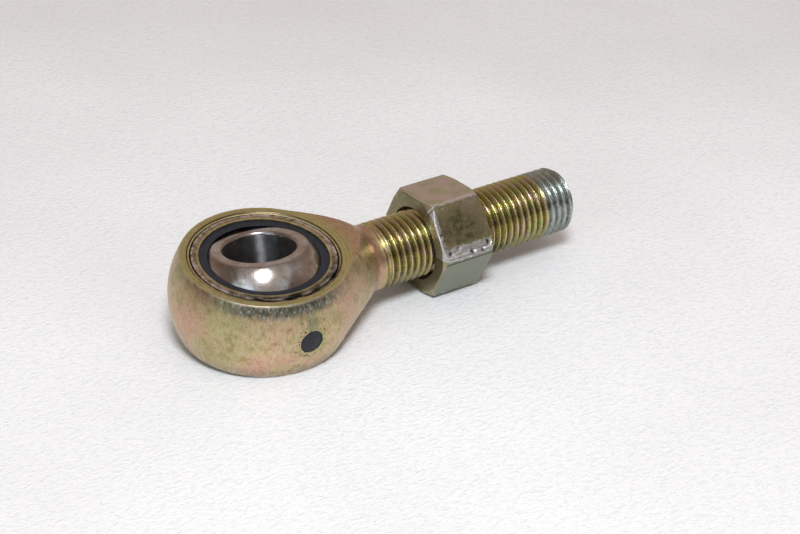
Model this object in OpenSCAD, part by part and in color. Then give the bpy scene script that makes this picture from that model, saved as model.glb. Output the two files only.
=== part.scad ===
// Male rod end bearing, 3/8 inch bore and 3/8-24 thread, with its lock nut.
// The origin is the centre of the ball, +X runs out along the shank, and +Z is
// square to the flat faces of the head.

/* [Ball] */
// Diameter of the hole through the ball
bore_d = 9.525; // [8.5:0.025:10.5]
// Diameter of the ball
ball_d = 18.26; // [17.8:0.02:18.4]
// Width of the ball between its two flats
ball_w = 12.9; // [12.2:0.1:13.2]
// Bevel at both mouths of the ball's hole
bore_bevel = 0.34; // [0.1:0.02:0.6]
// Lean of the ball's hole away from the head's own axis, towards +Y
ball_lean = 12.7; // [-15:0.1:15]

/* [Head] */
// Diameter of the turned head
head_d = 25.1; // [24.6:0.1:26]
// Width of the head between its two milled flats
head_w = 11.44; // [10.8:0.02:11.6]
// Half angle of the neck's cone
neck_angle = 33; // [30:1:38]
// Radius of the hollow where the neck meets the shank
neck_fillet = 2; // [1:0.1:3]
// Diameter of the moulding gate in the head's side
gate_d = 3.3; // [2.6:0.1:3.6]

/* [Race and liner] */
// Diameter of the race ring's seat in the head
seat_d = 19.9; // [19.7:0.1:20.4]
// Diameter of the race ring's mouth
mouth_d = 17.16; // [16.8:0.02:17.4]
// Thickness of the liner at the ball's equator
liner_wall = 0.42; // [0.3:0.02:0.5]
// How far the liner's edge lies below the head's face
liner_recess = 0.35; // [0.2:0.05:0.6]
// Depth of the staking groove in each face of the race ring
stake_depth = 0.5; // [0.2:0.05:0.7]

/* [Shank] */
// Outside diameter of the thread
thread_d = 9.525; // [9.4:0.025:9.6]
// Distance from one thread to the next
pitch = 1.0583; // [0.9:0.01:1.3]
// Distance from the ball's centre to the end of the shank
reach = 49.2; // [44:0.2:56]
// Bevel at the end of the shank
end_bevel = 0.65; // [0.4:0.05:0.9]

/* [Lock nut] */
// Width of the nut across its flats
nut_af = 13.8; // [13.6:0.1:14.3]
// Height of the nut
nut_h = 8.33; // [5.5:0.01:9]
// Distance from the ball's centre to the nut's nearer face
nut_x = 24.33; // [18:0.01:36]
// Turn of the nut around the shank
nut_turn = 20; // [0:1:59]

/* [Hidden] */
$fn = 96;
zinc = [0.62, 0.55, 0.33];
dark_zinc = [0.50, 0.47, 0.30];
steel = [0.66, 0.58, 0.45];
nylon = [0.09, 0.10, 0.12];
chrome = [0.72, 0.71, 0.70];
head_r = head_d / 2;
ball_r = ball_d / 2;
seat_r = seat_d / 2;
gate_r = gate_d / 2;
running_gap = 0.03;
seat_bevel = 0.24;
race_w = head_w - 0.12;
liner_w = head_w - 2 * liner_recess;
// The race ring's inner wall is a barrel, an arc through the mouth and the equator.
barrel_mid_r = ball_r + running_gap + liner_wall;
barrel_sag = barrel_mid_r - mouth_d / 2;
barrel_r = (pow(head_w / 2, 2) + pow(barrel_sag, 2)) / (2 * barrel_sag);
// Sharp 60 degree thread, with its crest an eighth and its root a sixth of the pitch.
thread_r = thread_d / 2;
crest = pitch / 8;
root = pitch / 6;
flank = (pitch - crest - root) / 2;
thread_depth = flank / tan(30);
// The neck's cone starts just under the head's round surface.
neck_line = 0.995 * head_r;
neck_r = thread_r - 0.05;
fillet_r = neck_r + neck_fillet;
fillet_x = (neck_line + neck_fillet - fillet_r * cos(neck_angle)) / sin(neck_angle);
cone_x = neck_line * sin(neck_angle);
cone_r = neck_line * cos(neck_angle);
thread_start = fillet_x + 0.1;
thread_count = floor((reach - end_bevel - thread_start) / pitch);
nut_bore_r = thread_r + 0.04;
nut_thread_depth = 0.35;
nut_sink = 0.45;
nut_corner_r = nut_af / sqrt(3);
nut_face_r = nut_af / 2 + 0.1;
nut_bevel = (nut_corner_r - nut_face_r) * tan(30);
nut_threads = floor((nut_h - 2 * nut_sink) / pitch);

// A slab square to Z, w thick and wide enough for the whole part.
module slab(w) {
    cube([4 * reach, 4 * reach, w], center = true);
}

// The four points of one thread groove, which is shallower in the run-out at the neck.
function groove(i) =
    let (share = min(1, (i + 1) / 3), middle = thread_start + (i + 0.5) * pitch,
         half_root = root / 2, half_mouth = root / 2 + flank * share)
    [[thread_r, middle - half_mouth],
     [thread_r - thread_depth * share, middle - half_root],
     [thread_r - thread_depth * share, middle + half_root],
     [thread_r, middle + half_mouth]];

// The cone that leaves the head, the hollow of neck_fillet at its foot, and the thread.
module neck_and_shank() {
    hollow = [for (i = [0:8]) let (a = neck_angle * (1 - i / 8))
        [fillet_r - neck_fillet * cos(a), fillet_x - neck_fillet * sin(a)]];
    grooves = [for (i = [0:thread_count - 1]) each groove(i)];
    rotate([0, 90, 0]) rotate_extrude()
        polygon(concat([[0, cone_x], [cone_r, cone_x]], hollow, [[thread_r, thread_start]],
                       grooves,
                       [[thread_r, reach - end_bevel], [thread_r - end_bevel, reach], [0, reach]]));
}

// The hole that the race ring sits in, with a bevel at both faces of the head.
module seat() {
    cylinder(r = seat_r, h = head_w + 2, center = true);
    for (side = [0, 1]) mirror([0, 0, side]) translate([0, 0, head_w / 2 - seat_bevel])
        cylinder(r1 = seat_r, r2 = seat_r + 2 * seat_bevel, h = 2 * seat_bevel);
}

// The moulding gate's channel, from the ball's side of the liner out past the head.
module gate_channel() {
    rotate([90, 0, 0]) translate([0, 0, ball_r]) cylinder(r = gate_r, h = head_r);
}

module barrel(w) {
    rotate_extrude() intersection() {
        translate([barrel_mid_r - barrel_r, 0]) circle(r = barrel_r, $fn = 360);
        translate([0, -w / 2]) square([head_r, w]);
    }
}

module stake_groove() {
    translate([0, 0, head_w / 2]) rotate_extrude()
        polygon([[seat_r - 0.62, 0.1], [seat_r - 0.42, -stake_depth],
                 [seat_r - 0.36, -stake_depth], [seat_r - 0.18, 0.1]]);
}

module housing() {
    color(zinc) difference() {
        intersection() {
            union() {
                rotate([0, 90, 0]) sphere(r = head_r);
                neck_and_shank();
            }
            slab(head_w);
        }
        seat();
        gate_channel();
    }
}

module race_ring() {
    color(steel) difference() {
        intersection() {
            seat();
            slab(race_w);
        }
        barrel(head_w + 2);
        gate_channel();
        for (side = [0, 1]) mirror([0, 0, side]) stake_groove();
    }
}

module liner() {
    color(nylon) difference() {
        union() {
            intersection() {
                barrel(head_w);
                slab(liner_w);
            }
            intersection() {
                gate_channel();
                rotate([0, 90, 0]) sphere(r = head_r);
            }
        }
        sphere(r = ball_r + running_gap);
    }
}

module ball() {
    color(chrome) rotate([-ball_lean, 0, 0]) difference() {
        intersection() {
            sphere(r = ball_r);
            slab(ball_w);
        }
        cylinder(d = bore_d, h = 2 * ball_w, center = true);
        for (side = [0, 1]) mirror([0, 0, side]) translate([0, 0, ball_w / 2 - bore_bevel])
            cylinder(r1 = bore_d / 2, r2 = bore_d / 2 + 2 * bore_bevel, h = 2 * bore_bevel);
    }
}

// A round blank whose bevels trim the hexagon's corners at both faces.
module nut_blank() {
    rotate_extrude()
        polygon([[0, 0], [nut_face_r, 0], [nut_corner_r + 0.01, nut_bevel],
                 [nut_corner_r + 0.01, nut_h - nut_bevel], [nut_face_r, nut_h], [0, nut_h]]);
}

// The nut's hole, whose thread clears the shank's crests so that the nut can slide.
module nut_hole() {
    sink_r = nut_bore_r + nut_sink;
    grooves = [for (i = [0:nut_threads - 1])
        let (middle = nut_h / 2 + (i - (nut_threads - 1) / 2) * pitch, half = crest / 2 + flank * 0.6)
        each [[nut_bore_r, middle - half], [nut_bore_r + nut_thread_depth, middle - crest / 2],
              [nut_bore_r + nut_thread_depth, middle + crest / 2], [nut_bore_r, middle + half]]];
    rotate_extrude()
        polygon(concat([[0, -1], [sink_r + 1, -1], [nut_bore_r, nut_sink]], grooves,
                       [[nut_bore_r, nut_h - nut_sink], [sink_r + 1, nut_h + 1], [0, nut_h + 1]]));
}

module lock_nut() {
    color(dark_zinc) translate([nut_x, 0, 0]) rotate([0, 90, 0]) difference() {
        intersection() {
            rotate([0, 0, nut_turn]) cylinder(r = nut_corner_r, h = nut_h, $fn = 6);
            nut_blank();
        }
        nut_hole();
    }
}

housing();
race_ring();
liner();
ball();
lock_nut();
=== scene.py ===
"""Looks of a male rod end bearing and its lock nut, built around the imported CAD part.

Every piece is meshed here at the CAD's own size: the milled head with its worn rim, a true
helical thread, the staked race ring, the liner with its moulding gate, the chromed ball and the
worn hex nut.  Shapes are worked out in millimetres, and make_object() turns them into metres.
"""

import math

import bmesh
import bpy
from mathutils import Matrix, Vector, noise


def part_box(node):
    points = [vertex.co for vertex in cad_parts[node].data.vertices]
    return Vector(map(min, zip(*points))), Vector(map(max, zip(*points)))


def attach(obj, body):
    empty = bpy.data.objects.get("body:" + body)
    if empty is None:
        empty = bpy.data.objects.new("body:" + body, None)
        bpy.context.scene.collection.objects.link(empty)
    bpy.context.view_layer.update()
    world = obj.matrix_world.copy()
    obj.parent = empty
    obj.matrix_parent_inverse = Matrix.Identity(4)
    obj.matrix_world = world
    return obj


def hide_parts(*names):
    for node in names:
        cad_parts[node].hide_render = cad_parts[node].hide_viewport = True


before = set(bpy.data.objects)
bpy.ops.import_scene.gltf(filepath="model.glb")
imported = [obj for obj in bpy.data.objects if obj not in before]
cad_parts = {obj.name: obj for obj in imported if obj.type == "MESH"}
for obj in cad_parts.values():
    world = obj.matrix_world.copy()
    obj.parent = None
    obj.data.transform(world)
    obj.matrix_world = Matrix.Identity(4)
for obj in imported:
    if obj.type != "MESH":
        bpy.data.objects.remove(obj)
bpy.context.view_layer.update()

MM = 0.001
FULL_TURN = 2 * math.pi


def span(node):
    """Lowest and highest corner of a CAD node, in millimetres."""
    low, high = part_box(node)
    return low / MM, high / MM


# --- Sizes, in millimetres ---

housing_low, housing_high = span("housing")
HEAD_R = -housing_low.x
REACH = housing_high.x
HALF_W = housing_high.z
NECK_ANGLE = math.radians(33)
NECK_FILLET = 2.0
GATE_R = 1.65

THREAD_R = 4.7625
PITCH = 1.0583
# Widths of the thread's crest, root and flank, as shares of its pitch.
CREST = 1 / 8
ROOT = 1 / 6
FLANK = (1 - CREST - ROOT) / 2
HALF_THREAD_ANGLE = math.radians(30)
THREAD_DEPTH = FLANK * PITCH / math.tan(HALF_THREAD_ANGLE)
END_BEVEL = 0.65
RUN_OUT_TURNS = 1.6
THREAD_SOFT = 0.13

# The neck's cone, and the hollow at its foot, as part.scad makes them.
NECK_LINE = 0.995 * HEAD_R
NECK_R = THREAD_R - 0.05
HOLLOW_R = NECK_R + NECK_FILLET
HOLLOW_X = (NECK_LINE + NECK_FILLET - HOLLOW_R * math.cos(NECK_ANGLE)) / math.sin(NECK_ANGLE)

SEAT_R = 9.95
SEAT_BEVEL = 0.24
SEAT_EDGE_R = SEAT_R + 0.4
RACE_TOP = span("race_ring")[1].z
GROOVE_R = 9.74
RACE_LIP_R = 10.08
RACE_EDGE_R = 10.13
MOUTH_R = 8.58
LINER_TOP = span("liner")[1].z
LINER_WALL = 0.42

BALL_R = 9.13
BALL_HALF_W = 6.45
BALL_FLAT_R = math.sqrt(BALL_R ** 2 - BALL_HALF_W ** 2)
BALL_LEAN = math.radians(12.7)
BALL_AXIS = Vector((0, math.sin(BALL_LEAN), math.cos(BALL_LEAN)))
BORE_R = 4.7625
BORE_BEVEL = 0.34
RUNNING_GAP = 0.03

# The race ring's inner wall is an arc through its two mouths and its middle.
BARREL_MID_R = BALL_R + RUNNING_GAP + LINER_WALL
BARREL_SAG = BARREL_MID_R - MOUTH_R
BARREL_R = (HALF_W ** 2 + BARREL_SAG ** 2) / (2 * BARREL_SAG)

nut_low, nut_high = span("lock_nut")
NUT_X = nut_low.x
NUT_H = nut_high.x - nut_low.x
NUT_HALF_AF = 6.9
NUT_SIDE = math.radians(60)
NUT_CORNER_R = NUT_HALF_AF / math.cos(NUT_SIDE / 2)
NUT_FACE_R = NUT_HALF_AF + 0.1
NUT_CHAMFER = math.radians(30)
NUT_CHAMFER_SOFT = 0.2
NUT_BORE_R = THREAD_R + 0.04
NUT_MOUTH_R = NUT_BORE_R + 0.45
NUT_THREAD_DEPTH = 0.35
NUT_FIRST_CORNER = math.radians(-10)
NUT_LOW_CORNER = math.radians(290)
# Rounding of the nut's six edges: the one that has met the most spanners is the softest.
NUT_CORNER_SOFT = (0.3, 0.28, 0.32, 0.62, 0.34, 0.3)
# Knocks on the nut: share of its height, angle in degrees, width and depth.
NUT_DENTS = ((0.9, 162, 0.5, 0.32), (0.13, 163, 0.45, 0.2), (0.3, 159, 0.5, 0.1),
             (0.55, 166, 0.6, 0.12), (0.75, 168, 0.5, 0.1), (0.06, 140, 0.35, 0.12),
             (0.2, 112, 0.4, 0.08), (0.5, 300, 0.6, 0.15), (0.8, 40, 0.5, 0.12))

# How finely the surfaces are divided.
QUARTER = 30
SHANK_COLUMNS = 4 * QUARTER
NUT_SIDE_COLUMNS = 40
GATE_COLUMNS = 96
ARC_STEPS = 4
SHARP_ANGLE = math.radians(35)
# Phases of a turn, from crest to crest, where the thread's profile has its points.
THREAD_PHASES = (0.0, 0.04, 0.075, 0.11, 0.18, 0.3, 0.38, 0.43,
                 0.5, 0.57, 0.62, 0.7, 0.82, 0.89, 0.925, 0.96)


# --- Small helpers ---

def mix(a, b, share):
    """a at share 0, b at share 1."""
    return a + (b - a) * share


def smoothstep(low, high, value):
    """0 at low, 1 at high and smooth between them; low may be the larger one."""
    share = min(1, max(0, (value - low) / (high - low)))
    return share * share * (3 - 2 * share)


def lumps(point, size, seed=0.0):
    """Smooth noise between about -1 and 1, with features of the given size."""
    return noise.noise(Vector(point) / size + Vector((seed, 2.3 * seed, -1.7 * seed)))


def steps(count):
    """Evenly spaced shares from 0 to 1, both ends included."""
    return [i / count for i in range(count + 1)]


def full_turn(count):
    """Evenly spaced angles from 0 to a full turn, both ends included."""
    return [FULL_TURN * share for share in steps(count)]


def rounded(corners, radius):
    """The corner points of an open outline with each inner corner replaced by a small arc."""
    points = [corners[0]]
    for before, corner, after in zip(corners, corners[1:], corners[2:]):
        here = Vector(corner)
        to_before = Vector(before) - here
        to_after = Vector(after) - here
        cut = min(radius, 0.45 * to_before.length, 0.45 * to_after.length)
        start = here + to_before.normalized() * cut
        end = here + to_after.normalized() * cut
        for t in steps(ARC_STEPS):
            points.append(tuple(mix(mix(start, here, t), mix(here, end, t), t)))
    return points + [corners[-1]]


def closed_outline(corners, radius):
    """rounded() for an outline that ends where it starts."""
    middle = tuple(mix(Vector(corners[0]), Vector(corners[-1]), 0.5))
    return rounded([middle, *corners, middle], radius)


def clean(bm, gap, sliver):
    """Sews together points closer than gap, and takes out faces thinner than sliver."""
    bmesh.ops.remove_doubles(bm, verts=bm.verts, dist=gap)
    bmesh.ops.dissolve_degenerate(bm, edges=bm.edges, dist=sliver)


def turn_about_x(bm, angle):
    """Turns a whole bmesh about the X axis."""
    bmesh.ops.rotate(bm, verts=bm.verts, cent=(0, 0, 0), matrix=Matrix.Rotation(angle, 3, "X"))


class Shell:
    """One closed surface, gathered patch by patch from rows of points in millimetres."""

    def __init__(self):
        self.points = []
        self.faces = []

    def grid(self, rows):
        """Quads between neighbouring rows, which all have the same number of points."""
        width = len(rows[0])
        first = len(self.points)
        for row in rows:
            self.points.extend(row)
        for r in range(len(rows) - 1):
            for c in range(width - 1):
                corner = first + r * width + c
                self.faces.append((corner, corner + 1, corner + width + 1, corner + width))

    def revolve(self, outline, columns):
        """The outline's (radius, height) points turned about Z."""
        turns = full_turn(columns)
        self.grid([[(r * math.cos(a), r * math.sin(a), z) for a in turns] for r, z in outline])

    def mesh(self):
        """A bmesh of the surface with its patches sewn together."""
        bm = bmesh.new()
        verts = [bm.verts.new(p) for p in self.points]
        for face in self.faces:
            bm.faces.new([verts[i] for i in face])
        clean(bm, gap=0.0005, sliver=0.0002)
        bmesh.ops.recalc_face_normals(bm, faces=bm.faces)
        return bm


def to_mesh(name, bm):
    """A new mesh made from a bmesh, which is freed."""
    mesh = bpy.data.meshes.new(name)
    bm.to_mesh(mesh)
    bm.free()
    return mesh


def new_object(name, data):
    """A new Blender object in the scene."""
    made = bpy.data.objects.new(name, data)
    bpy.context.scene.collection.objects.link(made)
    return made


def make_object(name, bm, body, node, material):
    """Turns a bmesh in millimetres into a piece that stands for a CAD node and rides on a body."""
    bmesh.ops.scale(bm, vec=(MM, MM, MM), verts=bm.verts)
    mesh = to_mesh(name, bm)
    mesh.shade_smooth()
    mesh.set_sharp_from_angle(angle=SHARP_ANGLE)
    mesh.materials.append(material)
    piece = new_object(name, mesh)
    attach(piece, body)
    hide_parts(node)
    return piece


def paint(piece, **amounts):
    """Stores each amount(point in mm, normal) on every vertex, for the material to read by name."""
    mesh = piece.data
    for name, amount in amounts.items():
        layer = mesh.attributes.new(name, "FLOAT", "POINT")
        values = [amount(v.co / MM, v.normal) for v in mesh.vertices]
        layer.data.foreach_set("value", values)


def cut(bm, tool):
    """The solid bm with the solid tool taken away."""
    target = new_object("body", to_mesh("body", bm))
    cutter = new_object("tool", to_mesh("tool", tool))
    modifier = target.modifiers.new("cut", "BOOLEAN")
    modifier.operation = "DIFFERENCE"
    modifier.solver = "EXACT"
    modifier.object = cutter
    result = bmesh.new()
    result.from_object(target, bpy.context.evaluated_depsgraph_get())
    for helper in (target, cutter):
        mesh = helper.data
        bpy.data.objects.remove(helper)
        bpy.data.meshes.remove(mesh)
    clean(result, gap=0.001, sliver=0.0005)
    return result


# --- Thread ---

def soft_limit(value, soft):
    """Value, held at or above 0 with a soft bend."""
    return (value + math.hypot(value, soft)) / 2


def thread_depth_at(phase):
    """The thread's depth at a phase, before thread_share() sets its crest to 0."""
    share = (min(phase, 1 - phase) - CREST / 2) / FLANK
    return 1 - soft_limit(1 - soft_limit(share, THREAD_SOFT), THREAD_SOFT)


def thread_share(phase):
    """How deep the thread is at a phase from crest (0) through root (0.5) to the next crest (1)."""
    crest = thread_depth_at(0)
    return (thread_depth_at(phase) - crest) / (1 - crest)


def helical_rows(start, turns, angles, place):
    """Rows of points that run as a right-hand helix from a flat ring at start to another.

    place(along, share, angle) gives the point at that distance along the axis, where share is the
    thread's depth.
    """
    def row(turn, phase):
        points = []
        for angle in angles:
            share = angle / FULL_TURN
            if turn < 0:
                along, depth = phase * share, thread_share(phase) * share
            elif turn == turns:
                along, depth = turn + mix(phase, 1, share), thread_share(phase) * (1 - share)
            else:
                along, depth = turn + phase + share, thread_share(phase)
            points.append(place(start + PITCH * along, depth, angle))
        return points

    rows = [row(turn, phase) for turn in range(-1, turns + 1) for phase in THREAD_PHASES]
    return rows + [row(turns, 1)]


def around_x(x, radius, angle):
    """The point at x, at a radius and angle about the X axis."""
    return (x, radius * math.cos(angle), radius * math.sin(angle))


def shank_point(along, share, angle):
    """A point of the shank's thread, which fades in at the neck and ends in a bevel and a face."""
    from_neck = (along - HOLLOW_X) / PITCH
    depth = THREAD_DEPTH * share * smoothstep(0, RUN_OUT_TURNS, from_neck)
    crest_line = mix(NECK_R, THREAD_R, smoothstep(0, 0.8, from_neck))
    spot = around_x(along, THREAD_R, angle)
    nick = 0.05 * smoothstep(0.25, 0.6, lumps(spot, 0.9, 4.0)) + 0.012 * lumps(spot, 0.35, 9.0)
    nick *= smoothstep(0, 1, from_neck)
    radius = crest_line - depth - max(0, nick) * (1 - share)
    bevel = THREAD_R - END_BEVEL - (along - REACH)
    if along < REACH:
        return around_x(along, min(radius, bevel), angle)
    return around_x(REACH, bevel, angle)


# --- Housing ---

def turned_radius(x):
    """Radius about +X of the head's round blank, from the sphere down to the shank."""
    hollow_start = HOLLOW_X - NECK_FILLET * math.sin(NECK_ANGLE)
    if x >= HOLLOW_X:
        return NECK_R
    if x >= hollow_start:
        return HOLLOW_R - math.sqrt(NECK_FILLET ** 2 - (x - HOLLOW_X) ** 2)
    sphere = math.sqrt(max(0, HEAD_R ** 2 - x * x))
    if x < NECK_LINE * math.sin(NECK_ANGLE):
        return sphere
    cone = (NECK_LINE - x * math.sin(NECK_ANGLE)) / math.cos(NECK_ANGLE)
    return (sphere + cone + math.hypot(sphere - cone, 0.04)) / 2


def rim_y(x):
    """Half the width of the head's milled face at x."""
    return math.sqrt(max(0, turned_radius(x) ** 2 - HALF_W ** 2))


def find_tongue_tip():
    """Where the milled face runs out on the neck."""
    low, high = 0.0, HOLLOW_X
    for _ in range(60):
        middle = (low + high) / 2
        if turned_radius(middle) > HALF_W:
            low = middle
        else:
            high = middle
    return (low + high) / 2


def rim_stations(count):
    """Values of x that part the milled face's rim into stretches of equal length."""
    back = -math.sqrt(HEAD_R ** 2 - HALF_W ** 2)
    tip = find_tongue_tip()
    fine = [mix(back, tip, 0.5 - 0.5 * math.cos(math.pi * share)) for share in steps(4000)]
    lengths = [0.0]
    for a, b in zip(fine, fine[1:]):
        lengths.append(lengths[-1] + math.hypot(b - a, rim_y(b) - rim_y(a)))
    stations = []
    k = 0
    for share in steps(count):
        target = share * lengths[-1]
        while k < len(fine) - 2 and lengths[k + 1] < target:
            k += 1
        part = (target - lengths[k]) / (lengths[k + 1] - lengths[k])
        stations.append(mix(fine[k], fine[k + 1], min(1, part)))
    return stations


def side_row(x, side):
    """Points of the head's round side at x, from the bottom face's rim up to the top one's."""
    radius = turned_radius(x)
    rim_angle = math.asin(min(1, HALF_W / max(radius, HALF_W)))
    angles = [rim_angle * j / QUARTER for j in range(-QUARTER, QUARTER + 1)]
    return [(x, side * radius * math.cos(a), radius * math.sin(a)) for a in angles]


def soften_rims(bm, width):
    """Rounds the edges between the milled faces and the round side."""
    rim = []
    for edge in bm.edges:
        at_face = all(abs(abs(v.co.z) - HALF_W) < 1e-4 for v in edge.verts)
        if at_face and len(edge.link_faces) == 2:
            flat = [abs(f.normal.z) > 0.9999 for f in edge.link_faces]
            outside = min(v.co.xy.length for v in edge.verts) > SEAT_R + 2 * SEAT_BEVEL
            if flat[0] != flat[1] and outside:
                rim.append(edge)
    bmesh.ops.bevel(bm, geom=rim, offset=width, segments=3, profile=0.5, affect="EDGES",
                    clamp_overlap=True)


def gate_drill():
    """A rod that cuts the gate's channel, from just outside the ball out through the -Y side."""
    length = 8
    bm = bmesh.new()
    bmesh.ops.create_cone(bm, cap_ends=True, segments=GATE_COLUMNS, radius1=GATE_R, radius2=GATE_R,
                          depth=length)
    turn_about_x(bm, math.pi / 2)
    bmesh.ops.translate(bm, verts=bm.verts, vec=(0, -(BALL_R + 0.3) - length / 2, 0))
    return bm


def housing_mesh():
    """The head, neck and threaded shank, with the race ring's seat and the gate's channel."""
    shell = Shell()
    cap = math.asin(HALF_W / HEAD_R)
    rim = rim_stations(150)
    stations = [-HEAD_R * math.cos(cap * share) for share in steps(14)]
    stations += rim[1:]
    stations += [mix(rim[-1], HOLLOW_X, share) for share in steps(16)[1:]]
    for side in (1, -1):
        shell.grid([side_row(x, side) for x in stations])

    outline = [Vector((x, rim_y(x))) for x in rim]
    outline += [Vector((x, -rim_y(x))) for x in reversed(rim)]
    mouth = SEAT_R + SEAT_BEVEL
    inner = [p.normalized() for p in outline]
    face = [[mix(p, mouth * q, share) for p, q in zip(outline, inner)]
            for share in (0, 0.3, 0.6, 0.85)]
    face += [[(mouth + beyond) * q for q in inner] for beyond in (0.16, 0.06, 0)]
    wall = [(SEAT_R, mix(HALF_W - SEAT_BEVEL, SEAT_BEVEL - HALF_W, share)) for share in steps(10)]
    rows = [[(p.x, p.y, HALF_W) for p in ring] for ring in face]
    rows += [[(r * q.x, r * q.y, z) for q in inner] for r, z in wall]
    rows += [[(p.x, p.y, -HALF_W) for p in ring] for ring in reversed(face)]
    shell.grid(rows)

    angles = full_turn(SHANK_COLUMNS)
    turns = math.ceil((REACH - HOLLOW_X) / PITCH)
    thread = helical_rows(HOLLOW_X, turns, angles, shank_point)
    shell.grid(thread)
    shell.grid([thread[-1], [around_x(REACH, 0, a) for a in angles]])
    bm = shell.mesh()
    soften_rims(bm, 0.08)
    return cut(bm, gate_drill())


# --- Race ring, liner and ball ---

def barrel_radius(z):
    """Radius of the race ring's inner wall at a height."""
    return BARREL_MID_R - BARREL_R + math.sqrt(BARREL_R ** 2 - z * z)


def race_mesh():
    """The race ring, with a staking groove and a lumpy ridge rolled into both its faces."""
    inner = barrel_radius(RACE_TOP)
    top = [(inner + 0.02, RACE_TOP - 0.02), (9.1, RACE_TOP + 0.02), (GROOVE_R - 0.11, RACE_TOP),
           (GROOVE_R - 0.05, RACE_TOP - 0.3), (GROOVE_R + 0.04, RACE_TOP - 0.32),
           (GROOVE_R + 0.12, RACE_TOP - 0.05), (RACE_LIP_R, RACE_TOP),
           (RACE_EDGE_R, RACE_TOP - 0.14), (SEAT_R - 0.01, RACE_TOP - 0.32)]
    bottom = [(r, -z) for r, z in reversed(top)]
    wall = [(barrel_radius(z), z) for z in (-4.4, -2.9, -1.4, 0, 1.4, 2.9, 4.4)]
    outline = closed_outline([*wall, *top, *bottom], 0.07)
    shell = Shell()
    shell.revolve(outline, 320)
    bm = shell.mesh()
    for v in bm.verts:
        radius = v.co.xy.length
        on_face = smoothstep(RACE_TOP - 0.3, RACE_TOP - 0.05, abs(v.co.z))
        ridge = on_face * smoothstep(GROOVE_R - 0.05, GROOVE_R - 0.2, radius)
        ridge *= smoothstep(8.55, 8.7, radius)
        lip = on_face * smoothstep(GROOVE_R + 0.08, GROOVE_R + 0.25, radius)
        rolled = abs(lumps(v.co, 0.9, 3.0) + 0.5 * lumps(v.co, 0.4, 1.0))
        lift = -0.06 * ridge * (0.5 + 0.7 * rolled)
        lift -= 0.03 * lip * (0.5 + lumps(v.co, 1.7, 5.0))
        v.co.z += lift * math.copysign(1, v.co.z)
        if abs(radius - GROOVE_R) < 0.25:
            v.co.xy *= 1 + 0.045 * on_face * lumps(v.co, 0.8, 7.0) / radius
    return cut(bm, gate_drill())


def liner_mesh():
    """The liner ring, and the moulding gate that fills the channel out to the head's side."""
    shell = Shell()
    ball_side = BALL_R + RUNNING_GAP
    heights = [mix(-LINER_TOP, LINER_TOP, share) for share in steps(30)]
    outside = [(barrel_radius(z) - 0.005, z) for z in heights]
    inside = [(math.sqrt(ball_side ** 2 - z * z), z) for z in reversed(heights)]
    shell.revolve(closed_outline([*outside, *inside], 0.08), 256)

    plug_r = GATE_R - 0.04
    foot = -(ball_side + 0.25)

    def sunk(radius, depth):
        """A point of the gate's end, that far below the head's round surface."""
        return (radius, -math.sqrt((HEAD_R - depth) ** 2 - radius ** 2))

    face = [(0.0, 0.05), (0.16, 0.05), (0.24, 0.015), (0.6, 0.02), (1.0, 0.03), (1.35, 0.035)]
    profile = [sunk(*ring) for ring in face]
    profile += rounded([sunk(1.36, 0.035), sunk(plug_r, 0.05), (plug_r, foot)], 0.09)
    profile += [(0.0, foot)]
    angles = full_turn(GATE_COLUMNS)
    shell.grid([[(r * math.cos(a), y, r * math.sin(a)) for a in angles] for r, y in profile])
    return shell.mesh()


def ball_mesh():
    """The ball with its two flats and its hole, leant as the photo shows it."""
    mouth = BORE_R + BORE_BEVEL
    latitude = math.asin(BALL_HALF_W / BALL_R)
    latitudes = [mix(latitude, -latitude, share) for share in steps(100)]
    # The arc stops a little short of the flats, to leave room for the rounding between them.
    arc = [(BALL_R * math.cos(a), BALL_R * math.sin(a)) for a in latitudes[5:-5]]
    edge = BALL_HALF_W - BORE_BEVEL
    faces = [(BALL_FLAT_R, -BALL_HALF_W), (mouth, -BALL_HALF_W), (BORE_R, -edge), (BORE_R, edge),
             (mouth, BALL_HALF_W), (BALL_FLAT_R, BALL_HALF_W)]
    shell = Shell()
    shell.revolve(arc + rounded([arc[-1], *faces, arc[0]], 0.3)[1:], 288)
    bm = shell.mesh()
    turn_about_x(bm, -BALL_LEAN)
    return bm


# --- Lock nut ---

def nut_angles():
    """Angles around the nut, closer together near its six corners."""
    angles = []
    for side in range(6):
        middle = NUT_FIRST_CORNER + NUT_SIDE * (side + 0.5)
        for j in range(NUT_SIDE_COLUMNS):
            even = 2 * j / NUT_SIDE_COLUMNS - 1
            spread = 0.4 * even + 0.6 * math.sin(math.pi / 2 * even)
            angles.append(middle + NUT_SIDE / 2 * spread)
    return angles + [NUT_FIRST_CORNER + FULL_TURN]


def nut_reach(angle):
    """Distance from the axis to the nut's side at an angle, its corners rounded."""
    turn = (angle - NUT_FIRST_CORNER) / NUT_SIDE
    corner = round(turn)
    from_corner = abs(turn - corner) * NUT_SIDE
    soft = NUT_CORNER_SOFT[corner % 6]
    flat = NUT_HALF_AF / math.cos(NUT_SIDE / 2 - from_corner)
    centre = (NUT_HALF_AF - soft) / math.cos(NUT_SIDE / 2)
    across = centre * math.sin(from_corner)
    if across > soft:
        return flat
    arc = centre * math.cos(from_corner) + math.sqrt(soft ** 2 - across ** 2)
    return min(flat, arc)


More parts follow.
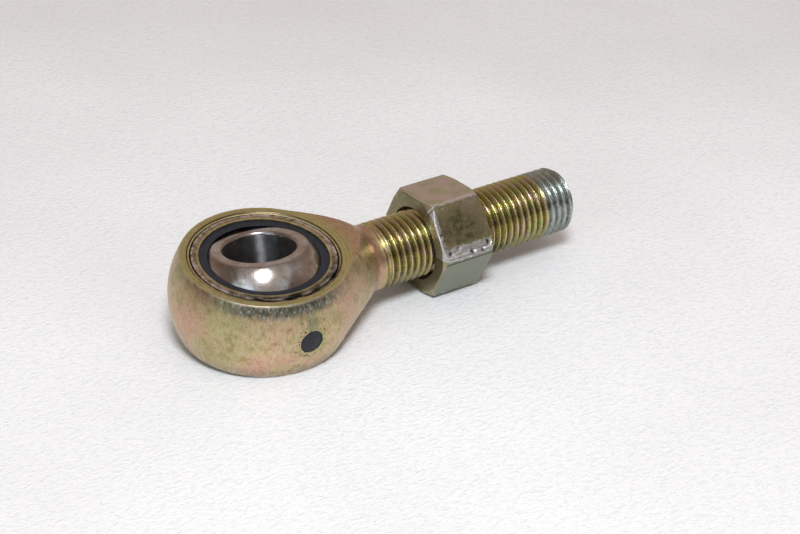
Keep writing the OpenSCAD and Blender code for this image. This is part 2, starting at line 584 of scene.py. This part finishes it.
def nut_side(reach):
    """(x, radius) from the near face's flat over the chamfer to the start of the side."""
    soft = NUT_CHAMFER_SOFT
    normal = Vector((-math.cos(NUT_CHAMFER), math.sin(NUT_CHAMFER)))
    on_cone = Vector((0, NUT_FACE_R))
    limit = normal.dot(on_cone) - soft

    def meets(point):
        return normal.dot(point) <= limit

    face_end = Vector((soft, reach - soft))
    side_end = face_end.copy()
    if not meets(face_end):
        face_end.y = (limit - normal.x * soft) / normal.y
        side_end.x = (limit - normal.y * (reach - soft)) / normal.x
    points = []
    for centre, first, last in ((face_end, 180, 180 - 60), (side_end, 180 - 60, 90)):
        for share in steps(ARC_STEPS):
            a = math.radians(mix(first, last, share))
            points.append((centre.x + soft * math.cos(a), centre.y + soft * math.sin(a)))
    return points


def dent_share(point, along, degrees, width):
    """1 in the middle of a knock on the nut's outside, falling to 0 at its edge."""
    x, y, z = point
    turn = (math.atan2(z, y) - math.radians(degrees)) % FULL_TURN
    across = min(turn, FULL_TURN - turn) * NUT_HALF_AF
    return smoothstep(1.0, 0.2, math.hypot(x - NUT_X - along * NUT_H, across) / width)


def dented(point):
    """A point of the nut's outside, pushed in by knocks and by the slight waves of a forging."""
    x, y, z = point
    push = 0.02 * lumps(point, 2.2, 3.0)
    for along, degrees, width, depth in NUT_DENTS:
        push += depth * dent_share(point, along, degrees, width)
    radius = math.hypot(y, z)
    shrink = 1 - push * smoothstep(NUT_MOUTH_R, NUT_MOUTH_R + 1, radius) / radius
    return (x, y * shrink, z * shrink)


def nut_mesh():
    """The nut's outside, column by column from face to face, and the thread in its hole."""
    angles = nut_angles()
    columns = []
    for angle in angles:
        near = nut_side(nut_reach(angle))
        face = [(0, mix(NUT_MOUTH_R, near[0][1], share)) for share in steps(4)[:-1]]
        side = [(mix(near[-1][0], NUT_H / 2, share), near[-1][1]) for share in steps(24)[1:]]
        half = face + near + side
        columns.append(half + [(NUT_H - x, r) for x, r in reversed(half[:-1])])
    rows = [[dented(around_x(NUT_X + column[k][0], column[k][1], angle))
             for column, angle in zip(columns, angles)] for k in range(len(columns[0]))]
    shell = Shell()
    shell.grid(rows)

    def bore_point(along, share, angle):
        """A point of the hole, where the shank's root is the nut's crest."""
        x = along - NUT_X
        wall = NUT_BORE_R + NUT_THREAD_DEPTH * (1 - share)
        sink = NUT_MOUTH_R - min(x, NUT_H - x)
        return around_x(NUT_X + min(max(x, 0), NUT_H), max(wall, sink), angle + angles[0])

    turns = math.floor(NUT_H / PITCH) - 1
    spare = NUT_H - (turns + 1) * PITCH
    thread = helical_rows(NUT_X + spare / 2, turns, [a - angles[0] for a in angles], bore_point)
    near_ring = [around_x(NUT_X, NUT_MOUTH_R, a) for a in angles]
    far_ring = [around_x(NUT_X + NUT_H, NUT_MOUTH_R, a) for a in angles]
    shell.grid([near_ring, *thread, far_ring])
    return shell.mesh()


# --- Materials ---

def colour(red, green, blue):
    """A linear colour from the usual 0 to 255 values."""
    return tuple(((c / 255 + 0.055) / 1.055) ** 2.4 if c > 10 else c / 255 / 12.92
                 for c in (red, green, blue)) + (1.0,)


class Graph:
    """The node tree of one material, with a short method for each kind of node it needs."""

    def __init__(self, name):
        self.material = bpy.data.materials.new(name)
        self.material.use_nodes = True
        self.tree = self.material.node_tree
        self.shader = self.tree.nodes["Principled BSDF"]
        self.place = self.tree.nodes.new("ShaderNodeTexCoord").outputs["Object"]

    def node(self, kind, inputs=(), **settings):
        """A new node with its settings and inputs filled in."""
        made = self.tree.nodes.new(kind)
        for name, value in settings.items():
            setattr(made, name, value)
        for socket, value in dict(inputs).items():
            self.set(made.inputs[socket], value)
        return made

    def set(self, socket, value):
        """Links another node's output to the socket, or stores a plain value in it."""
        if isinstance(value, bpy.types.NodeSocket):
            self.tree.links.new(value, socket)
        else:
            socket.default_value = value

    def noise(self, size, detail=3.0, roughness=0.55, distortion=0.0, shift=0.0, stretch=(1, 1, 1),
              turn=(0, 0, 0)):
        """Noise between 0 and 1 with features of size millimetres."""
        moved = self.node("ShaderNodeMapping", {
            "Vector": self.place, "Scale": stretch, "Rotation": turn,
            "Location": (shift, 0.7 * shift, -shift)})
        return self.node("ShaderNodeTexNoise", {
            "Vector": moved.outputs["Vector"], "Scale": 1 / (size * MM), "Detail": detail,
            "Roughness": roughness, "Distortion": distortion}).outputs["Fac"]

    def range(self, value, low, high, to_low=0.0, to_high=1.0):
        """Value mapped smoothly from low..high to to_low..to_high."""
        return self.node("ShaderNodeMapRange", {
            "Value": value, "From Min": low, "From Max": high, "To Min": to_low, "To Max": to_high,
        }, interpolation_type="SMOOTHSTEP").outputs["Result"]

    def spread(self, cloud, low, high):
        """A noise's usual values mapped to low..high."""
        return self.range(cloud, 0.3, 0.7, low, high)

    def math(self, operation, a, b, clamp=False):
        """The result of one of the Math node's operations on two values."""
        made = self.node("ShaderNodeMath", operation=operation, use_clamp=clamp)
        self.set(made.inputs[0], a)
        self.set(made.inputs[1], b)
        return made.outputs[0]

    def add(self, a, b):
        """The sum of two values."""
        return self.math("ADD", a, b)

    def times(self, a, b, clamp=False):
        """The product of two values."""
        return self.math("MULTIPLY", a, b, clamp)

    def ramp(self, value, stops):
        """The colour at a value, from stops of (position, red, green, blue)."""
        made = self.node("ShaderNodeValToRGB", {"Fac": value})
        elements = made.color_ramp.elements
        while len(elements) < len(stops):
            elements.new(0.5)
        for element, (position, *tint) in zip(elements, stops):
            element.position = position
            element.color = colour(*tint)
        return made.outputs["Color"]

    def blend(self, share, a, b):
        """Colour a at share 0, colour b at share 1."""
        made = self.node("ShaderNodeMix", data_type="RGBA")
        self.set(made.inputs["Factor"], share)
        self.set(made.inputs["A"], a)
        self.set(made.inputs["B"], b)
        return made.outputs["Result"]

    def painted(self, name):
        """The value that paint() stored on the mesh."""
        return self.node("ShaderNodeAttribute", attribute_name=name).outputs["Fac"]

    def bump(self, height, depth, below=None):
        """A normal for bumps of depth millimetres, on top of another one."""
        made = self.node("ShaderNodeBump", {"Height": height, "Distance": depth * MM})
        if below is not None:
            self.set(made.inputs["Normal"], below)
        return made.outputs["Normal"]

    def finish(self, **sockets):
        """Sets the shader's sockets, named with underscores for their spaces."""
        for name, value in sockets.items():
            self.set(self.shader.inputs[name.replace("_", " ")], value)
        return self.material


# Length of one wave of Blender's wave texture at scale 1.
WAVE_LENGTH = 0.314


def yellow_zinc():
    """Yellow chromate over zinc: olive and tan, with pink and green bloom, specks and bare rims."""
    g = Graph("yellow_zinc_steel")
    bloom = g.noise(6.0, distortion=1.0, shift=0.013)
    base = g.ramp(bloom, [
        (0.30, 174, 168, 112), (0.42, 182, 166, 122), (0.50, 196, 174, 134),
        (0.58, 200, 164, 136), (0.66, 186, 164, 124)])
    cloud = g.noise(1.3, detail=5.0, roughness=0.7, shift=0.04)
    base = g.blend(g.range(cloud, 0.4, 0.7, 0.0, 0.5), base, colour(200, 188, 160))
    base = g.blend(g.range(cloud, 0.5, 0.3, 0.0, 0.5), base, colour(128, 114, 78))
    patch = g.range(g.noise(1.8, detail=4.0, roughness=0.65, shift=0.15), 0.3, 0.6, 0.35, 1.0)
    base = g.blend(g.times(g.painted("green"), patch), base, colour(180, 178, 120))
    base = g.blend(g.times(g.painted("pink"), patch), base, colour(202, 158, 138))
    mottle = g.noise(0.4, roughness=0.75, shift=0.11, stretch=(1, 1, 0.6))
    base = g.blend(g.range(mottle, 0.48, 0.32, 0.0, 0.42), base, colour(108, 94, 68))
    base = g.blend(g.range(mottle, 0.54, 0.7, 0.0, 0.3), base, colour(222, 208, 176))
    specks = g.add(g.noise(0.22, detail=2.0, roughness=0.6, shift=0.02),
                   g.times(g.painted("dirt"), 0.06))
    specks = g.range(specks, 0.63, 0.68)
    patchy = g.add(g.range(g.noise(3.0, shift=0.07), 0.42, 0.6), g.painted("dirt"))
    base = g.blend(g.times(specks, patchy, clamp=True), base, colour(52, 44, 32))

    # The cutter's rings on the milled faces.
    base = g.blend(g.times(g.painted("face"), 0.55), base, colour(206, 198, 140))
    rings = g.node("ShaderNodeTexWave", {
        "Vector": g.place, "Scale": WAVE_LENGTH / (0.55 * MM), "Distortion": 2.0, "Detail": 3.0,
        "Detail Scale": 3.0}, wave_type="RINGS", rings_direction="Z").outputs["Fac"]
    rings = g.times(g.range(rings, 0.6, 0.95), g.painted("face"))
    rings = g.times(rings, g.range(g.noise(1.6), 0.4, 0.62, 0.05, 0.4))
    base = g.blend(rings, base, colour(96, 86, 46))
    base = g.blend(g.painted("seam"), base, colour(50, 44, 34))

    # Scuffs and bare metal along the rims.
    scratches = g.noise(0.32, detail=4.0, roughness=0.75, shift=0.09, stretch=(1, 1, 0.3))
    scuff = g.painted("scuff")
    base = g.blend(g.times(scuff, 0.9), base, g.ramp(scratches, [
        (0.36, 58, 60, 50), (0.50, 96, 100, 88), (0.60, 150, 154, 148), (0.68, 214, 216, 216)]))
    bare = g.times(g.painted("bare"), g.range(mottle, 0.3, 0.5, 0.25, 1.0))
    base = g.blend(bare, base, colour(214, 214, 218))

    # The thread's iridescent plating and its paler end, painted shade with some dirt in its roots,
    # and painted shade on its lower half.
    threads = g.painted("thread")
    plating = g.ramp(g.noise(1.1, roughness=0.65, shift=0.21), [
        (0.34, 164, 190, 124), (0.43, 198, 192, 104), (0.52, 206, 186, 132),
        (0.60, 212, 176, 164), (0.68, 184, 190, 200)])
    thread_above_roots = g.math("SUBTRACT", threads, g.painted("valley"))
    base = g.blend(g.times(thread_above_roots, 0.7, clamp=True), base, plating)
    base = g.blend(g.painted("blue"), base, g.ramp(cloud, [
        (0.35, 160, 170, 168), (0.6, 192, 202, 206)]))
    # Painted shade, with some dirt, darkens the thread's roots.
    base = g.blend(g.painted("valley"), base, colour(52, 46, 26))
    # Painted shade darkens the lower half of the shank.
    base = g.blend(g.painted("grease"), base, colour(86, 88, 66))

    rough = g.spread(cloud, 0.32, 0.44)
    rough = g.math("SUBTRACT", rough, g.times(threads, 0.12))
    normal = g.bump(g.noise(0.09, detail=2.0, shift=0.03), 0.006)
    normal = g.bump(mottle, 0.02, normal)
    normal = g.bump(g.times(scratches, scuff), 0.09, normal)
    return g.finish(Base_Color=base, Metallic=1.0, Roughness=rough, Normal=normal)


def race_steel():
    """The staked ring's steel: tan plating with dirt in its grooves."""
    g = Graph("race_steel")
    cloud = g.noise(0.9, detail=5.0, roughness=0.7, shift=0.05)
    base = g.ramp(cloud, [(0.34, 104, 92, 78), (0.44, 146, 132, 110),
                          (0.56, 172, 156, 132), (0.66, 196, 186, 182)])
    base = g.blend(g.painted("yellow"), base, colour(206, 194, 134))
    base = g.blend(g.times(g.painted("edge"), g.range(cloud, 0.42, 0.5)), base,
                   colour(226, 220, 230))
    base = g.blend(g.painted("dirt"), base, colour(30, 26, 20))
    grain = g.noise(0.2, detail=4.0, roughness=0.7)
    rough = g.add(g.spread(cloud, 0.36, 0.52), g.times(g.painted("dirt"), 0.3))
    return g.finish(Base_Color=base, Metallic=1.0, Roughness=rough, Normal=g.bump(grain, 0.03))


def black_nylon():
    """Moulded black nylon, with a soft sheen."""
    g = Graph("black_nylon")
    cloud = g.noise(0.8, detail=4.0, roughness=0.6)
    base = g.ramp(cloud, [(0.3, 14, 17, 24), (0.7, 30, 35, 46)])
    rough = g.spread(cloud, 0.4, 0.58)
    return g.finish(Base_Color=base, Roughness=rough, Specular_IOR_Level=0.4,
                    Normal=g.bump(cloud, 0.03))


def chromed_steel():
    """Polished chrome with fine turning lines around the hole, a thin brown film, and painted shade
    by the liner and along the flats' edges.
    """
    g = Graph("chromed_steel")
    film = g.noise(2.4, detail=4.0, roughness=0.65, distortion=0.5, shift=0.06)
    base = g.ramp(film, [(0.32, 160, 142, 130), (0.5, 182, 172, 166), (0.66, 200, 200, 204)])
    specks = g.range(g.noise(0.25), 0.6, 0.68, 0.0, 0.6)
    base = g.blend(specks, base, colour(84, 68, 56))
    # Painted shade: darker where the ball meets the liner and along its flats' edges.
    base = g.blend(g.painted("film"), base, colour(104, 88, 76))
    rough = g.spread(g.noise(0.5, detail=4.0, roughness=0.7, shift=0.03), 0.17, 0.21)
    lines = g.noise(0.05, detail=1.0, stretch=(0.02, 0.02, 1), turn=(BALL_LEAN, 0, 0))
    return g.finish(Base_Color=base, Metallic=1.0, Roughness=rough, Normal=g.bump(lines, 0.0015))


def turned_bore():
    """The ball's hole, whose fine turning rings stretch each highlight along the hole."""
    g = Graph("turned_bore")
    film = g.noise(1.5, detail=4.0, roughness=0.65, shift=0.02)
    base = g.ramp(film, [(0.35, 108, 104, 102), (0.65, 130, 132, 136)])
    rings = g.noise(0.12, detail=2.0, stretch=(0.02, 0.02, 1), turn=(BALL_LEAN, 0, 0))
    tangent = g.node("ShaderNodeTangent", direction_type="RADIAL", axis="Z").outputs["Tangent"]
    return g.finish(Base_Color=base, Metallic=1.0, Roughness=0.34, Anisotropic=1.0,
                    Anisotropic_Rotation=0.25, Tangent=tangent, Normal=g.bump(rings, 0.004))


def nut_steel():
    """Dull olive plating on the nut, rubbed to bare silver along its worn edges, with painted light
    on its top side and painted shade on its front, near face and lower sides.
    """
    g = Graph("worn_zinc_steel")
    cloud = g.noise(2.4, detail=4.0, roughness=0.6, shift=0.05)
    base = g.ramp(cloud, [(0.36, 150, 150, 108), (0.5, 172, 162, 124), (0.64, 188, 168, 148)])
    # Painted light: the upper side paler.
    pale = g.ramp(cloud, [(0.36, 186, 184, 154), (0.5, 202, 192, 174), (0.62, 210, 192, 190)])
    base = g.blend(g.painted("pale"), base, pale)
    # Painted shade: the lower sides greyer green and darker.
    base = g.blend(g.painted("green"), base, colour(132, 138, 124))
    stain = g.noise(0.8, detail=5.0, roughness=0.75, shift=0.02)
    # Painted shade: the front side and the near face darker, in blotches.
    dark = g.times(g.painted("dark"), g.range(stain, 0.3, 0.66, 1.0, 0.7))
    base = g.blend(dark, base, g.ramp(stain, [(0.34, 48, 44, 30), (0.66, 126, 118, 92)]))
    scrapes = g.noise(0.5, detail=5.0, roughness=0.7, shift=0.08)
    worn = g.add(g.painted("bare"), g.spread(scrapes, -0.3, 0.3))
    worn = g.range(worn, 0.4, 0.7)
    base = g.blend(worn, base, g.ramp(scrapes, [(0.3, 170, 168, 166), (0.6, 214, 214, 216)]))
    base = g.blend(g.range(g.painted("pits"), 0.25, 0.7, 0.0, 0.9), base, colour(46, 42, 30))
    rough = g.range(worn, 0.0, 1.0, 0.44, 0.3)
    normal = g.bump(g.noise(0.3, detail=4.0, roughness=0.7), 0.02)
    normal = g.bump(g.times(scrapes, g.painted("bare")), 0.12, normal)
    return g.finish(Base_Color=base, Metallic=1.0, Roughness=rough, Normal=normal)


def pebbled_vinyl():
    """The pale table top, finely pebbled and a little glossy."""
    g = Graph("pebbled_vinyl")
    pebbles = g.noise(0.5, detail=2.0, roughness=0.6, distortion=0.8, stretch=(0.55, 1, 1),
                      turn=(0, 0, math.radians(-30)))
    clouds = g.noise(60.0, detail=2.0)
    base = g.ramp(clouds, [(0.3, 234, 234, 236), (0.7, 245, 246, 248)])
    base = g.blend(g.range(pebbles, 0.5, 0.36, 0.0, 0.4), base, colour(216, 222, 230))
    return g.finish(Base_Color=base, Roughness=0.32, Normal=g.bump(pebbles, 0.15))


# --- Where wear, dirt, colours and painted light and shade lie ---

def on_milled_face(normal):
    """1 on the head's milled faces, and 0 on its round side."""
    return smoothstep(0.97, 0.999, abs(normal.z))


def near_angle(point, degrees, inside, outside):
    """1 within inside radians of an angle about Z, falling to 0 at outside radians from it."""
    away = abs(math.atan2(point.y, point.x) - math.radians(degrees))
    return 1 - smoothstep(inside, outside, away)


def rim_distance(point):
    """How far a point of the head is below its nearer milled face."""
    return HALF_W - abs(point.z)


def scuff_amount(point, normal):
    """The rubbed band under the head's rims, strongest at the front of the top one."""
    if point.x > HOLLOW_X or point.xy.length < SEAT_EDGE_R or abs(normal.z) > 0.95:
        return 0.0
    depth = rim_distance(point)
    front = near_angle(point, -106, 0.4, 1.0)
    side = 1.0 if point.z > 0 else 0.35
    ragged = depth + 0.5 * lumps(point, 0.8, 5.0)
    band = side * (0.1 + 0.9 * front) * smoothstep(2.1, 0.9, ragged) * smoothstep(0.03, 0.3, depth)
    above_gate = smoothstep(0.9, 0.4, abs(point.x + 0.3 * lumps(point, 1.0, 3.0)))
    above_gate *= (point.y < 0) * (point.z > 0) * smoothstep(4.6, 3.4, point.z)
    return max(band, 0.5 * above_gate)


def thread_amount(point, normal):
    """1 on the shank, and 0 on the head and neck."""
    return smoothstep(HOLLOW_X, HOLLOW_X + 1, point.x)


def valley_amount(point, normal):
    """Painted shade in the bottom of the thread, with some dirt."""
    height = math.hypot(point.y, point.z) - (THREAD_R - THREAD_DEPTH)
    away_from_end = smoothstep(REACH - 4, REACH - 5.5, point.x)
    on_thread = HOLLOW_X + 0.5 < point.x < REACH - 0.05
    return (0.3 + 0.5 * away_from_end) * on_thread * (1 - smoothstep(0.0, 0.35, height))


def grease_amount(point, normal):
    """Painted shade on the lower half of the shank, darker towards the bottom."""
    return 0.5 * thread_amount(point, normal) * smoothstep(0.35, -0.45, point.z / THREAD_R)


def bare_amount(point, normal):
    """Bare metal along the head's rims and on the thread's crests."""
    if point.x > HOLLOW_X:
        on_crest = smoothstep(THREAD_R - 0.12, THREAD_R - 0.01, math.hypot(point.y, point.z))
        return 0.4 * on_crest * smoothstep(HOLLOW_X + 0.5, HOLLOW_X + 2, point.x)
    outside = point.xy.length > SEAT_EDGE_R
    near_rim = 1 - smoothstep(0.04, 0.13, rim_distance(point))
    tilted = 1 - smoothstep(0.985, 0.999, abs(normal.z))
    front = near_angle(point, -95, 0.5, 1.2)
    patchy = 0.6 + 0.4 * lumps(point, 0.7, 2.0)
    tongue = smoothstep(11.5, 12.5, point.x)
    return outside * near_rim * tilted * patchy * (0.75 + 0.25 * max(front, tongue))


def dirt_amount(point, normal):
    """Dirt specks around the gate."""
    if point.y > 0:
        return 0.0
    from_gate = math.hypot(point.x, point.z)
    return smoothstep(3.4, 1.7, from_gate + 0.6 * lumps(point, 0.8, 1.0))


def seam_amount(point, normal):
    """The dark line where the race ring meets the head."""
    return 0.85 * smoothstep(10.28, 10.22, point.xy.length) * (abs(normal.z) > 0.3)


def face_amount(point, normal):
    """The milled faces near the seat, which show the cutter's rings."""
    on_head = point.x < HOLLOW_X
    return on_milled_face(normal) * on_head * smoothstep(12.6, 11.0, point.xy.length)


def spots(point, places):
    """Soft patches on the head's round side: angle in degrees, height, width and strength."""
    found = 0.0
    angle = math.degrees(math.atan2(point.y, point.x))
    for degrees, height, width, strength in places:
        across = ((angle - degrees + 180) % 360 - 180) * math.radians(HEAD_R)
        distance = math.hypot(across, point.z - height) + 0.9 * lumps(point, 1.5, 8.0)
        found = max(found, strength * (1 - smoothstep(0.2 * width, width, distance)))
    return found


def green_amount(point, normal):
    """The greener bloom around the seat, near the gate and on the side to its left."""
    if point.x > HOLLOW_X:
        return 0.6
    on_face = on_milled_face(normal)
    near_seat = smoothstep(12.4, 11.2, point.xy.length)
    patches = spots(point, ((-88, -0.2, 3.2, 1.0), (-148, 2.5, 3.6, 0.7), (60, 0, 5.0, 0.6)))
    return max(on_face * near_seat * 0.9, (1 - on_face) * patches)


def pink_amount(point, normal):
    """The pink bloom low on the front, right of the gate, at the back end and on the neck."""
    on_face = on_milled_face(normal)
    tongue = on_face * smoothstep(10.8, 12.0, point.xy.length) * 0.6
    patches = spots(point, ((-122, -3.6, 3.4, 0.9), (-107, -2.0, 1.6, 0.8), (-58, 2.0, 3.6, 0.6),
                            (-172, 1.0, 4.0, 0.7), (100, -2, 4.0, 0.7)))
    neck = smoothstep(13.5, 15.0, point.x) * (1 - smoothstep(16.2, 17.2, point.x))
    return max(tongue, patches, 0.7 * neck) if point.x < HOLLOW_X + 1.5 else 0.0


def blue_amount(point, normal):
    """The paler, bluer plating on the last few threads."""
    start = REACH - 5.2 + 0.5 * lumps(point, 3.0)
    return 0.85 * smoothstep(start, start + 0.8, point.x)


def race_dirt(point, normal):
    """Dirt that has gathered in the staking grooves and along the seam."""
    radius = point.xy.length
    low = smoothstep(0.04, 0.2, RACE_TOP - abs(point.z))
    groove = low * smoothstep(0.2, 0.08, abs(radius - GROOVE_R))
    seam = smoothstep(10.04, 10.1, radius)
    front = smoothstep(0.2, 0.9, -point.y / 9.5)
    streaks = 0.8 + 0.9 * lumps(Vector((point.x, 3 * radius, 0)), 1.3, 6.0)
    smear = front * streaks * smoothstep(8.6, 9.2, radius)
    return min(1, max(groove, 0.9 * seam, 0.9 * smear))


def race_yellow(point, normal):
    """The yellow plating on the ring's inner rim and on the lip outside its groove."""
    radius = point.xy.length
    inner = smoothstep(9.1, 8.7, radius)
    return 0.8 * max(0.7 * inner, smoothstep(GROOVE_R + 0.08, GROOVE_R + 0.16, radius))


def race_edge(point, normal):
    """The rubbed line along the outside of the rolled ridge."""
    radius = point.xy.length + 0.1 * lumps(point, 0.35, 4.0)
    return 0.8 * smoothstep(0.2, 0.03, abs(radius - GROOVE_R + 0.25))


def film_amount(point, normal):
    """Brown painted shade on the ball, near the liner's edge and at its own two edges."""
    height = abs(point.dot(BALL_AXIS))
    near_edge = smoothstep(BALL_HALF_W - 0.9, BALL_HALF_W - 0.2, height)
    near_edge *= smoothstep(BALL_HALF_W + 0.01, BALL_HALF_W - 0.05, height)
    by_liner = smoothstep(LINER_TOP - 0.2 + 0.8 * lumps(point, 1.2, 2.0), LINER_TOP - 1.3, point.z)
    return max(0.5 * near_edge, 0.75 * by_liner * (point.z > 0))


def side_of(point):
    """The nut's side that a point is on, and how far across it lies from -1 to 1."""
    turn = (math.atan2(point.z, point.y) - NUT_FIRST_CORNER) / NUT_SIDE % 6
    return math.floor(turn), 2 * (turn % 1) - 1


def nut_bare(point, normal):
    """Where spanners have rubbed the nut bright: one lower edge band, and the near corners."""
    side, across = side_of(point)
    along = (point.x - NUT_X) / NUT_H
    band = (side == 2) * smoothstep(0.42, 0.7, across + 0.15 * lumps(point, 1.5, 4.0))
    chamfer = (side == 2) * (1 - smoothstep(0.04, 0.13, along)) * smoothstep(-1.0, -0.8, across)
    shared_edge = side in (1, 2) and (side == 1) == (across > 0)
    upper_edge = shared_edge * smoothstep(0.93, 1.0, abs(across))
    radius = math.hypot(point.y, point.z)
    edge = smoothstep(7.45, 7.75, radius) * 0.35
    return max(0.9 * band, 0.85 * chamfer, 0.75 * upper_edge, edge)


def nut_painted_shade(point, normal):
    """Painted shade on the front side and on the near face, darkest in the front side's middle."""
    side, across = side_of(point)
    near_face = 1 - smoothstep(0.0, 0.15, point.x - NUT_X)
    from_middle = (point.x - NUT_X) / NUT_H - 0.45
    centre = 1 - smoothstep(0.3, 1.0, math.hypot(across, 1.6 * from_middle))
    return max((side == 2) * (0.4 + 0.5 * centre), 0.5 * near_face)


def nut_pits(point, normal):
    """Dark dirt in the knocks on the nut."""
    ragged = point + 0.25 * Vector((lumps(point, 0.4, 1.0), lumps(point, 0.4, 2.0), 0))
    return max(min(1, 6 * depth) * dent_share(ragged, along, degrees, width)
               for along, degrees, width, depth in NUT_DENTS)


def nut_painted_light(point, normal):
    """Painted light: the upper side paler."""
    return 0.85 * (side_of(point)[0] == 1) * smoothstep(0.5, 0.9, abs(normal.z))


def nut_painted_lower_shade(point, normal):
    """Painted shade: the lower sides greyer, greener and darker."""
    return 0.9 * (side_of(point)[0] in (3, 4)) * (1 - smoothstep(0.3, 0.8, abs(normal.x)))


# --- Pieces ---

housing = make_object("housing_body", housing_mesh(), "head", "housing",
                      yellow_zinc())
paint(housing, scuff=scuff_amount, bare=bare_amount, dirt=dirt_amount, seam=seam_amount,
      face=face_amount, green=green_amount, pink=pink_amount, blue=blue_amount,
      thread=thread_amount, valley=valley_amount, grease=grease_amount)

race = make_object("race_ring_body", race_mesh(), "head", "race_ring", race_steel())
paint(race, dirt=race_dirt, yellow=race_yellow, edge=race_edge)

make_object("liner_and_gate", liner_mesh(), "head", "liner", black_nylon())

ball = make_object("ball_body", ball_mesh(), "ball", "ball", chromed_steel())
ball.data.materials.append(turned_bore())
paint(ball, film=film_amount)
for face in ball.data.polygons:
    middle = face.center / MM
    from_axis = (middle - BALL_AXIS * middle.dot(BALL_AXIS)).length
    if from_axis < BORE_R + 0.02:
        face.material_index = 1

nut = make_object("lock_nut_body", nut_mesh(), "nut", "lock_nut", nut_steel())
paint(nut, bare=nut_bare, dark=nut_painted_shade, pits=nut_pits, pale=nut_painted_light, green=nut_painted_lower_shade)


# --- Floor ---

def resting_normal():
    """Upward normal of the table, which carries the tilted ball's edge, the nut and the head."""
    lean = Matrix.Rotation(-BALL_LEAN, 3, "X")
    ball_edge = lean @ Vector((0, BALL_FLAT_R, -BALL_HALF_W))
    nut_edge = Vector(around_x(NUT_X + NUT_H / 2, NUT_CORNER_R, NUT_LOW_CORNER))
    head_x = -3.0
    head_edge = Vector((head_x, -rim_y(head_x), -HALF_W))
    normal = (nut_edge - head_edge).cross(ball_edge - head_edge).normalized()
    return normal if normal.z > 0 else -normal


def make_floor():
    """A wide table top that just touches the lowest points of the part."""
    up = resting_normal()
    lowest = min(up.dot(v.co) for piece in (housing, ball, nut) for v in piece.data.vertices)
    bm = bmesh.new()
    bmesh.ops.create_grid(bm, x_segments=1, y_segments=1, size=3.0)
    floor = new_object("floor", to_mesh("floor", bm))
    floor.data.materials.append(pebbled_vinyl())
    floor.rotation_mode = "QUATERNION"
    floor.rotation_quaternion = Vector((0, 0, 1)).rotation_difference(up)
    floor.location = up * lowest


make_floor()


# --- Lights and camera ---

LAMP_AIM = Vector((0.016, 0, 0))


def area_light(name, direction, distance, size, power, tint):
    """A round lamp that looks at LAMP_AIM from a direction, with its sizes in metres."""
    data = bpy.data.lights.new(name, "AREA")
    data.shape = "DISK"
    data.size = size
    data.energy = power
    data.color = tint
    lamp = new_object(name, data)
    towards = Vector(direction).normalized()
    lamp.location = towards * distance + LAMP_AIM
    lamp.rotation_mode = "QUATERNION"
    lamp.rotation_quaternion = towards.to_track_quat("Z", "Y")


area_light("key", direction=(-0.28, -0.38, 0.88), distance=0.5, size=0.14, power=2.0,
           tint=(0.94, 0.97, 1.0))
area_light("soft", direction=(-0.22, -0.4, 0.93), distance=0.6, size=1.1, power=1.15,
           tint=(0.9, 0.955, 1.0))
area_light("sky", direction=(-0.9, -0.3, 0.5), distance=0.9, size=0.6, power=0.8,
           tint=(0.7, 0.85, 1.0))


def make_room():
    """A plain room for the metal to reflect: brown and dim in front, brighter behind."""
    world = bpy.data.worlds.new("room")
    world.use_nodes = True
    tree = world.node_tree
    direction = tree.nodes.new("ShaderNodeTexCoord").outputs["Generated"]
    towards_windows = (0.58, 0.78, 0.2)
    facing = tree.nodes.new("ShaderNodeVectorMath")
    facing.operation = "DOT_PRODUCT"
    facing.inputs[1].default_value = towards_windows
    tree.links.new(direction, facing.inputs[0])
    share = tree.nodes.new("ShaderNodeMapRange")
    share.inputs["From Min"].default_value = -1.0
    tree.links.new(facing.outputs["Value"], share.inputs["Value"])
    ramp = tree.nodes.new("ShaderNodeValToRGB")
    dim, bright = ramp.color_ramp.elements
    dim.position = 0.3
    dim.color = (0.14, 0.115, 0.095, 1)
    bright.position = 0.85
    bright.color = (0.47, 0.38, 0.325, 1)
    tree.links.new(share.outputs["Result"], ramp.inputs["Fac"])
    tree.links.new(ramp.outputs["Color"], tree.nodes["Background"].inputs["Color"])
    bpy.context.scene.world = world


make_room()
bpy.context.scene.view_settings.view_transform = "Standard"


def make_camera(azimuth, elevation, roll, distance, aim_right, aim_up, lens):
    """A camera that looks at the ball's centre, moved by the two aims; degrees and millimetres."""
    a = math.radians(azimuth)
    e = math.radians(elevation)
    turn = math.radians(roll)
    back = Vector((math.sin(a) * math.cos(e), -math.cos(a) * math.cos(e), math.sin(e)))
    level = Vector((math.cos(a), math.sin(a), 0))
    raised = back.cross(level)
    right = math.cos(turn) * level + math.sin(turn) * raised
    up = math.cos(turn) * raised - math.sin(turn) * level
    place = (right * aim_right + up * aim_up + back * distance) * MM
    data = bpy.data.cameras.new("camera")
    data.lens = lens
    data.sensor_width = 36
    data.clip_start = 0.01
    data.clip_end = 20
    camera = new_object("camera", data)
    turned = Matrix((right, up, back)).transposed().to_4x4()
    camera.matrix_world = Matrix.Translation(place) @ turned
    bpy.context.scene.camera = camera


make_camera(azimuth=-37.246, elevation=35.361, roll=5.903, distance=265.3, aim_right=18.24,
            aim_up=3.13, lens=90)
